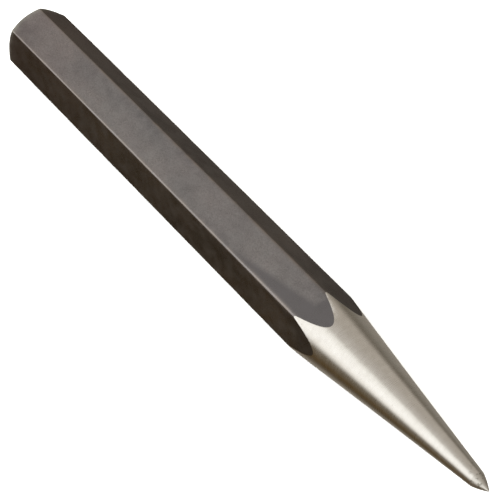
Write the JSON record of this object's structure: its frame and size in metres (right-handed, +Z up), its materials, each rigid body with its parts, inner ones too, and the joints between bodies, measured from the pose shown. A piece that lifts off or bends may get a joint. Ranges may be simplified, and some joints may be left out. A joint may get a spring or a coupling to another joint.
{
  "type": "center punch",
  "caption": "Center punch of hexagonal steel bar with a black oxide body, a chamfered struck end, a bright ground taper and a short conical point.",
  "frame": {"origin": "centre of the footprint, halfway between the struck face and the tip, on the flat that the punch rests on", "axes": "+X along the punch from the struck end to the point, +Z up out of the flat opposite the one it rests on, +Y across two opposite long edges"},
  "size_m": [0.1142, 0.011, 0.0095],
  "materials": {
    "black_oxide_steel": "satin black oxide on the six-sided body, with the taper and the point ground bright"
  },
  "bodies": {
    "root": {"punch_body": "black_oxide_steel"}
  },
  "joints": []
}
